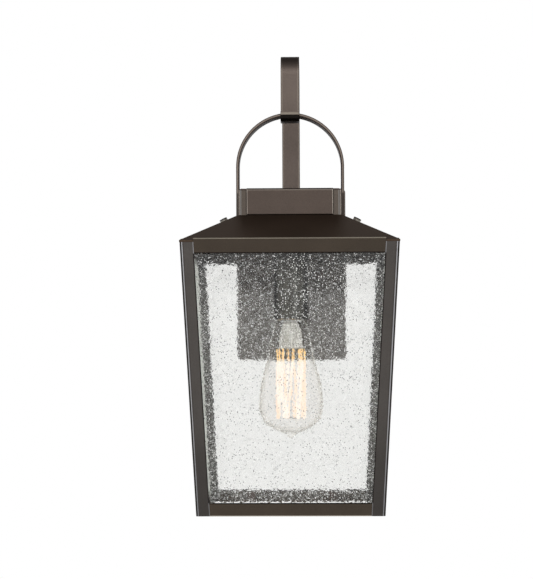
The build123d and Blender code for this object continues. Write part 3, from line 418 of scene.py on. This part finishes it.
# ---------------------------------------------------------------- finishes
def bronze(name, colour, dull=0.35, painted_highlight=None, bare_metal_and_highlight=None, dark=None, rim=0.5):
    """Oil-rubbed bronze powder coat: faint mottling and an even grain; paler where a highlight is painted,
    dark where shade is painted at seams and edges.
    """
    f = new_finish(name)
    cloud = f.noise(30, 3.0)
    fleck = f.noise(1500, 2.0, 0.6)
    tone = f.smooth(cloud * 0.35 + fleck * 0.65, 0.36, 0.64)
    pale = [c * 1.05 for c in colour]
    deep = [c * 0.95 for c in colour]
    body = f.mix(tone, rgb(*deep), rgb(*pale))
    roughness = dull + 0.04 * cloud + 0.03 * fleck
    # Painted highlight: the pale colour is painted over the coat where the mask puts a highlight.
    if painted_highlight:
        edge = painted_highlight(f)
        body = f.mix(edge * (0.75 + 0.25 * cloud), body, rgb(*bare_metal_and_highlight))
        roughness = roughness - 0.08 * edge
    # Painted shade: the near black is painted where the dark mask puts shade.
    if dark:
        body = f.mix(dark(f), body, rgb(*PAINTED_SHADE_COLOUR))
    peel = f.noise(420)
    grain = f.noise(2400, 2.0, 0.6)
    return f.done(f.principled({
        "Base Color": body,
        "Metallic": 0.9,
        "Specular Tint": (rim, rim, rim, 1.0),
        "Roughness": roughness,
        "Normal": f.bump(grain * 0.5 + peel * 0.5, 0.00006, 0.35),
    }))


def knurled():
    """A thumb screw's head: bright plated flutes, with painted shade on its upper rim."""
    f = new_finish("knurled")
    off_slope = f.aside() * math.sin(ROOF_TILT) + f.height() * math.cos(ROOF_TILT) - KNOB_FOOT
    # Painted shade: the upper rim is coloured near black.
    rim = f.smooth(off_slope, 6.5 * MM, 6.9 * MM)
    dust = f.noise(900, 3.0, 0.6)
    bare_metal_and_highlight = f.mix(dust, rgb(132, 128, 120), rgb(180, 176, 168))
    return f.done(f.principled({
        "Base Color": f.mix(rim, bare_metal_and_highlight, rgb(*PAINTED_SHADE_COLOUR)), "Metallic": 1.0,
        "Roughness": 0.16 + 0.08 * dust, "Normal": f.bump(dust, 0.00006, 0.3),
    }))


def zinc(name):
    """Bright zinc plate with faint crystals."""
    f = new_finish(name)
    dust = f.noise(180, 3.0, 0.6)
    colour = f.mix(f.smooth(dust, 0.35, 0.7), rgb(176, 178, 176), rgb(206, 206, 202))
    return f.done(f.principled({
        "Base Color": colour, "Metallic": 1.0, "Roughness": 0.28 + 0.12 * f.lot(700, "Red"),
        "Normal": f.bump(f.noise(1500), 0.00006, 0.4),
    }))


def lit_through(f, glass, tint):
    """Light falls through the glass instead of leaving a solid shadow behind it."""
    return f.blend(f.ray("Is Shadow Ray"), glass, f.clear(tint))


def seeded_glass():
    """Clear pressed glass with a slow ripple, full of fine pale seeds and a few dark ones."""
    f = new_finish("seeded_glass")
    where = f.drawn(0.85)
    lot = f.lot(780, "Red", where)
    reach = 0.12 + 0.27 * lot ** 2.5
    pale_seed = 1 - f.smooth(f.cells(780, where=where) / reach, 0.9, 1.05)
    speck = 1 - f.smooth(f.cells(560, where=where), 0.20, 0.25)
    dark_seed = speck * (f.lot(560, "Green", where) > 0.80)
    ripple = f.noise(420, 1.5) + f.noise(60, where=f.drawn(0.15))
    glass = f.principled({
        "Base Color": rgb(248, 248, 247), "Roughness": 0.0, "IOR": 1.5, "Specular IOR Level": 0.16,
        "Transmission Weight": 1.0, "Normal": f.bump(ripple * 0.2, 0.0005, 0.5),
    })
    seed = f.mix(f.smooth(lot, 0.5, 0.9), rgb(196, 196, 193), rgb(240, 240, 238))
    bubble = f.principled({"Base Color": f.mix(dark_seed, seed, rgb(24, 25, 24)), "Roughness": 0.3})
    filled = f.blend(f.larger(pale_seed * 0.95, dark_seed * 0.85), glass, bubble)
    # Seen along its surface, the glass is clouded by its own seeds.
    patch = 0.5 + 0.5 * f.smooth(f.noise(900, 2.0, 0.6), 0.38, 0.62)
    cloud = f.smooth(f.slant({"Blend": 0.5}), 0.74, 0.90) * patch
    haze = f.node("BsdfTranslucent", {}, {"Color": rgb(236, 238, 231)})
    return f.done(lit_through(f, f.blend(cloud, filled, haze), rgb(246, 248, 247)))


def bulb_glass():
    """Thin blown glass with the faintest swirl, grey and then milky towards its outline; the milky outline
    is a painted reflection.
    """
    f = new_finish("bulb_glass")
    glass = f.principled({
        "Base Color": rgb(253, 252, 251), "Roughness": 0.0, "IOR": 1.06,
        "Transmission Weight": 1.0, "Normal": f.bump(f.noise(45), 0.0004, 0.1),
    })
    turn = f.slant({"Blend": 0.5})
    skin = f.blend(f.smooth(turn, 0.3, 0.9) * 0.9, glass, f.clear(rgb(247, 246, 244)))
    # Painted reflection: a pale surface mixed in towards the outline.
    painted_rim_reflection = f.principled({"Base Color": rgb(226, 226, 222), "Roughness": 0.15})
    skin = f.blend(f.smooth(turn, 0.64, 0.94) * 0.45, skin, painted_rim_reflection)
    return f.done(lit_through(f, skin, rgb(250, 250, 248)))


def mount_glass():
    """The bulb's inner glass: thin and drawn, shown mostly as pale streaks down its sides and a pale
    outline, which are painted highlights.
    """
    f = new_finish("mount_glass")
    streak = f.noise(620, 2.0, 0.6, where=f.drawn(0.04))
    normal = f.bump(streak, 0.0004, 0.6)
    rim = f.slant({"Blend": 0.42, "Normal": normal})
    # Painted highlights: a pale surface in streaks and at the outline stands in for the glass's
    # reflections.
    skin = f.principled({"Base Color": rgb(236, 235, 232), "Roughness": 0.12, "Normal": normal})
    share = 0.20 + 0.40 * rim + 0.46 * f.smooth(streak, 0.46, 0.62)
    return f.done(f.blend(share, f.clear(rgb(250, 250, 248)), skin))


def foam(name):
    """Closed-cell foam, full of fine pores."""
    f = new_finish(name)
    pore = f.cells(2200)
    colour = f.mix(f.smooth(pore, 0.1, 0.5), rgb(20, 20, 20), rgb(48, 48, 48))
    return f.done(f.principled({
        "Base Color": colour, "Roughness": 0.86, "Normal": f.bump(pore, 0.0002, 0.7),
    }))


def porcelain(name):
    """Glazed porcelain with a slight wave."""
    f = new_finish(name)
    wave = f.noise(120, 3.0)
    return f.done(f.principled({
        "Base Color": f.mix(wave, rgb(214, 208, 194), rgb(236, 232, 222)),
        "Roughness": 0.12 + 0.1 * wave, "Coat Weight": 0.6, "Normal": f.bump(wave, 0.0003, 0.2),
    }))


def brass(name, pale, deep, dull):
    """Plain brass, stained in places and finely scratched."""
    f = new_finish(name)
    stain = f.noise(90, 4.0, 0.6)
    return f.done(f.principled({
        "Base Color": f.mix(f.smooth(stain, 0.38, 0.68), deep, pale), "Metallic": 1.0,
        "Roughness": dull + 0.15 * stain, "Normal": f.bump(f.noise(1600), 0.00008, 0.4),
    }))


def plastic(name, pale, deep, dull=0.35):
    """Moulded or extruded plastic with a fine grain."""
    f = new_finish(name)
    cloud = f.noise(160, 3.0)
    return f.done(f.principled({
        "Base Color": f.mix(f.smooth(cloud, 0.35, 0.65), deep, pale),
        "Roughness": dull + 0.1 * cloud, "Normal": f.bump(f.noise(2600), 0.00008, 0.5),
    }))


def filament():
    """Glowing carbon thread: orange where it meets its upper hooks, warm white below."""
    f = new_finish("filament")
    cool = f.smooth(f.height(), CAGE_TOP - 14 * MM, CAGE_TOP - 9 * MM)
    heat = f.smooth(f.noise(180, where=f.drawn(0.1)), 0.36, 0.60)
    hot = f.mix(heat, rgb(255, 231, 209), rgb(255, 247, 237))
    return f.done(f.principled({
        "Base Color": rgb(90, 60, 40), "Roughness": 0.5, "Emission Strength": 1.1,
        "Emission Color": f.mix(cool, hot, rgb(255, 214, 146)),
    }))


FINISHES = {
    "bronze": bronze("bronze", (84, 73, 68)),
    # Painted light: the strap's base is lighter than the plain bronze's, for a part that is more brightly
    # lit.
    "bronze_strap": bronze(
        "bronze_strap", (99, 89, 83), 0.33, strap_painted_highlight, (150, 142, 130), strap_painted_shade,
    ),
    "bronze_hoop": bronze(
        "bronze_hoop", (84, 73, 68), 0.33, hoop_painted_highlight, (136, 126, 116), hoop_painted_shade,
    ),
    "bronze_panel": bronze(
        "bronze_panel", (84, 74, 68), 0.35, panel_painted_highlight, (134, 126, 118), panel_painted_shade,
    ),
    "bronze_corner": bronze(
        "bronze_corner", (91, 83, 76), 0.33, corner_painted_highlight, (134, 132, 130), corner_painted_shade, rim=0.2,
    ),
    # Painted shade: the rails' base is darker than the plain bronze's, for faces that are less brightly
    # lit.
    "bronze_rail": bronze(
        "bronze_rail", (70, 62, 54), 0.35, rail_painted_highlight, (158, 150, 136), rail_painted_shade,
    ),
    "bronze_post": bronze(
        "bronze_post", (83, 79, 76), 0.33, post_painted_highlight, (180, 180, 184), post_painted_shade, rim=0.1,
    ),
    "bronze_roof": bronze("bronze_roof", (74, 61, 51), 0.30, rim=0.6),
    "bronze_plate": bronze("bronze_plate", (91, 84, 78), 0.42),
    "bronze_sleeve": bronze(
        "bronze_sleeve", (74, 72, 66), 0.24, sleeve_painted_highlight, (108, 108, 104), sleeve_painted_shade, rim=0.1,
    ),
    "knurled": knurled(),
    "zinc_steel": zinc("zinc_steel"),
    "seeded_glass": seeded_glass(),
    "clear_glass": bulb_glass(),
    "gasket_foam": foam("gasket_foam"),
    "socket_insulator": porcelain("socket_insulator"),
    "socket_brass": brass("socket_brass", rgb(206, 170, 104), rgb(168, 130, 72), 0.2),
    "bulb_cap_metal": brass("bulb_cap_metal", rgb(190, 164, 112), rgb(140, 112, 70), 0.3),
    "support_wire": zinc("support_wire"),
    "filament": filament(),
    "mount_glass": mount_glass(),
    "ground_green": plastic("ground_green", rgb(46, 140, 70), rgb(30, 110, 50), 0.25),
    "black_insulation": plastic("black_insulation", rgb(40, 40, 40), rgb(24, 24, 24)),
    "white_insulation": plastic("white_insulation", rgb(236, 236, 230), rgb(214, 214, 206)),
    "green_insulation": plastic("green_insulation", rgb(40, 130, 60), rgb(28, 104, 46)),
    "connector_plastic": plastic("connector_plastic", rgb(222, 120, 46), rgb(198, 98, 32), 0.45),
}

# Nodes whose name holds these words get their own finish instead of their slot's; the last match holds.
OWN_FINISH = {
    "_rail_": "bronze_rail",
    "post_": "bronze_post",
    "crown_posts": "bronze_corner",
    "crown_panel": "bronze_panel",
    "hook_arm": "bronze_strap",
    "hoop_handle": "bronze_hoop",
    "roof": "bronze_roof",
    "roof_tabs": "bronze",
    "wall_plate": "bronze_plate",
    "socket_sleeve": "bronze_sleeve",
    "knob_": "knurled",
}


def dress_nodes():
    """Each CAD node gets the finish of its slot in the record, or its own."""
    for part in frame["record"]["subparts"]:
        name = part["node"]
        own = [finish for words, finish in OWN_FINISH.items() if words in name]
        finish = own[-1] if own else part["material_slot"]
        nodes[name].data.materials.clear()
        nodes[name].data.materials.append(FINISHES[finish])


# ---------------------------------------------------------------- bulb
def add_piece(name, data, finish, slot, *stands_for):
    """Makes a mesh or curve a finished piece of the bulb, standing for the CAD nodes named last."""
    data.materials.append(FINISHES[finish])
    piece = bpy.data.objects.new(name, data)
    bpy.context.scene.collection.objects.link(piece)
    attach(piece, "bulb")
    if stands_for:
        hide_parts(*stands_for)
    return piece


def turned(name, profile, steps=32):
    """A profile of radius and height in millimetres, turned round the lantern's centre line."""
    mesh = bmesh.new()
    line = [mesh.verts.new((r * MM, 0, z * MM)) for r, z in profile]
    for low, high in zip(line, line[1:]):
        mesh.edges.new((low, high))
    bmesh.ops.spin(
        mesh, geom=mesh.verts[:] + mesh.edges[:], cent=(0, 0, 0), axis=(0, 0, 1),
        angle=math.tau, steps=steps, use_merge=True,
    )
    bmesh.ops.remove_doubles(mesh, verts=mesh.verts, dist=0.001 * MM)
    bmesh.ops.recalc_face_normals(mesh, faces=mesh.faces)
    bmesh.ops.translate(mesh, verts=mesh.verts, vec=(0, AXIS_Y, 0))
    data = bpy.data.meshes.new(name)
    mesh.to_mesh(data)
    mesh.free()
    data.shade_smooth()
    return data


def rounded(piece, levels=2):
    smooth = piece.modifiers.new("rounding", "SUBSURF")
    smooth.levels = levels
    smooth.render_levels = levels


def walled(piece, thick):
    wall = piece.modifiers.new("wall", "SOLIDIFY")
    wall.thickness = thick
    wall.offset = -1


def bulb_envelope():
    """The blown glass: straight shoulders, full cheeks and a drawn tip at the bottom."""
    outline = [
        (12.6, -50.5), (13.2, -50.7), (15.6, -54.2), (18.0, -59.5), (19.5, -68), (20.8, -77),
        (22.8, -87), (25.5, -96), (28.1, -105), (30.2, -115), (31.6, -125), (32.0, -135),
        (31.0, -143), (27.6, -150), (21.5, -156), (13.0, -160), (7.4, -161.4), (5.2, -162.8),
        (3.4, -165.2), (1.6, -166.7), (0, -167),
    ]
    glass = turned("bulb_envelope", outline, steps=40)
    piece = add_piece("bulb_envelope", glass, "clear_glass", "clear_glass", "bulb_glass")
    walled(piece, 0.6 * MM)
    rounded(piece)


def bulb_mount():
    """A foot across the neck, a bell under it and a rod with a button for each row of hooks."""
    bell = [
        (11.6, -50.8), (11.8, -51.2), (11.4, -51.7), (6.0, -52.0), (7.2, -54.2), (9.2, -58.0),
        (10.5, -62.0), (11.4, -68.0), (12.0, -74.0), (12.2, -77.6), (11.9, -78.0),
    ]
    piece = add_piece("bulb_bell", turned("bulb_bell", bell), "mount_glass", "clear_glass")
    walled(piece, 0.5 * MM)
    rounded(piece)
    top, end = CAGE_TOP / MM, CAGE_END / MM
    rod = [
        (0, -52.4), (1.6, -52.6), (2.6, -54.5), (2.2, -58.0), (1.5, -62.0),
        (1.4, top + 4.0), (2.3, top + 1.6), (2.5, top), (2.3, top - 1.6), (1.4, top - 4.0),
        (1.3, end + 5.0), (2.2, end + 2.0), (2.6, end), (2.0, end - 1.7), (0, end - 2.0),
    ]
    glass = turned("bulb_rod", rod, steps=16)
    rounded(add_piece("bulb_rod", glass, "clear_glass", "clear_glass", "bulb_stem"))


def bent_wire(name, routes, radius, fullness=lambda height: 1.0):
    """A smooth wire along each route, round the lantern's centre line; fullness scales its radius."""
    line = bpy.data.curves.new(name, "CURVE")
    line.dimensions = "3D"
    line.bevel_depth = radius
    line.bevel_resolution = 2
    line.resolution_u = 4
    line.use_fill_caps = True
    for route in routes:
        spline = line.splines.new("NURBS")
        spline.points.add(len(route) - 1)
        for point, place in zip(spline.points, route):
            point.co = (place[0], place[1] + AXIS_Y, place[2], 1)
            point.radius = fullness(place[2])
        spline.order_u = 3
        spline.use_endpoint_u = True
    return line


def hook_place(index, upper, reach=None, lift=0.0):
    """Where a hook holds the thread, or a place nearer the rod on the way out to it."""
    turn = math.radians(HOOK_TURNS[index % len(HOOK_TURNS)])
    reach = reach or (TOP_REACH if upper else END_REACH)
    height = (CAGE_TOP if upper else CAGE_END) + lift
    return Vector((reach * math.cos(turn), reach * math.sin(turn), height))


def below(place, drop):
    return place - Vector((0, 0, drop))


def bulb_thread():
    """One long thread strung up and down over the hooks, from the first hook round to it again."""
    route = []
    for index in range(len(HOOK_TURNS) + 1):
        upper = index % 2 == 0
        here = hook_place(index, upper)
        beside = Vector((-here.y, here.x, 0)).normalized() * 0.7 * MM
        dip = 1.6 * MM if upper else -1.6 * MM
        comes, goes = below(here - beside, dip), below(here + beside, dip)
        loop = [comes, here - beside * 0.8, here + beside * 0.8, goes]
        if upper:
            rise = [below(comes, 12.5 * MM), below(comes, 10.5 * MM)]
            fall = [below(goes, 10.5 * MM), below(goes, 12.5 * MM)]
            loop = rise + loop + fall
        route += loop
    half_loop = 4  # the thread starts and ends half-way round the eight points of an upper loop
    thin_above = CAGE_TOP - 13 * MM
    wire = bent_wire(
        "bulb_thread", [route[half_loop:-half_loop]], 1.15 * MM,
        fullness=lambda height: 0.5 if height > thin_above else 1.0,
    )
    add_piece("bulb_thread", wire, "filament", "filament", "bulb_filament")


def bulb_hooks():
    """A wire from the rod to each hook, and two leads from the foot to the first hook and its opposite."""
    wires = []
    for index in range(len(HOOK_TURNS)):
        upper = index % 2 == 0
        lift = (1.2 if upper else -1.2) * MM
        wires.append([
            hook_place(index, upper, 1.9 * MM),
            hook_place(index, upper, 8 * MM, 0.8 * lift),
            hook_place(index, upper, lift=0.45 * lift),
            hook_place(index, upper, lift=-0.3 * lift),
        ])
    for side, index in ((1, 0), (-1, 8)):
        wires.append([
            Vector((side * 2.0 * MM, 0, -52.6 * MM)),
            Vector((side * 2.8 * MM, 0.4 * MM, -60 * MM)),
            Vector((side * 3.6 * MM, 0.8 * MM, -72 * MM)),
            hook_place(index, True, 12.6 * MM, 0.8 * MM),
        ])
    wire = bent_wire("bulb_hooks", wires, 0.22 * MM)
    add_piece("bulb_hooks", wire, "support_wire", "support_wire", "bulb_supports")


# ---------------------------------------------------------------- floor and backdrop
def make_floor():
    """A pale floor below the lantern, which the camera sees as nearly white."""
    mesh = bmesh.new()
    bmesh.ops.create_grid(mesh, x_segments=1, y_segments=1, size=1.5)
    bmesh.ops.translate(mesh, verts=mesh.verts, vec=(0, -0.5, -0.62))
    data = bpy.data.meshes.new("floor")
    mesh.to_mesh(data)
    mesh.free()
    floor = bpy.data.objects.new("floor", data)
    bpy.context.scene.collection.objects.link(floor)
    f = new_finish("floor")
    matte = f.node("BsdfDiffuse", {}, {"Color": (0.9, 0.9, 0.9, 1)})
    white = f.node("Emission", {}, {"Color": (1, 1, 1, 1), "Strength": 1.0})
    data.materials.append(f.done(f.blend(f.ray("Is Camera Ray") * 0.8, matte, white)))


def make_backdrop():
    """White all round; metal sees a dim ceiling, and a room in front that is dimmer near the floor."""
    world = bpy.data.worlds.new("backdrop")
    bpy.context.scene.world = world
    f = Finish(world, "OutputWorld")
    way = f.node("TexCoord", {}, {}, "Generated")
    up = f.axis(way, "Z")
    room = 0.42 + 0.88 * f.smooth(up, -0.22, 0.30)
    ceiling = 1 - 0.65 * f.smooth(up, 0.40, 0.80)
    behind = f.smooth(f.axis(way, "Y"), -0.15, 0.25)
    level = (behind + room * (1 - behind)) * ceiling

    def light(strength):
        return f.node("Background", {}, {"Color": (1, 1, 1, 1), "Strength": strength})

    seen = f.blend(f.ray("Is Glossy Ray"), light(1.0), light(level))
    f.done(f.blend(f.ray("Is Diffuse Ray"), seen, light(0.7)))


make_camera()
make_lights()
make_backdrop()
make_floor()
dress_nodes()
bulb_envelope()
bulb_mount()
bulb_thread()
bulb_hooks()
bpy.context.scene.view_settings.view_transform = "Standard"
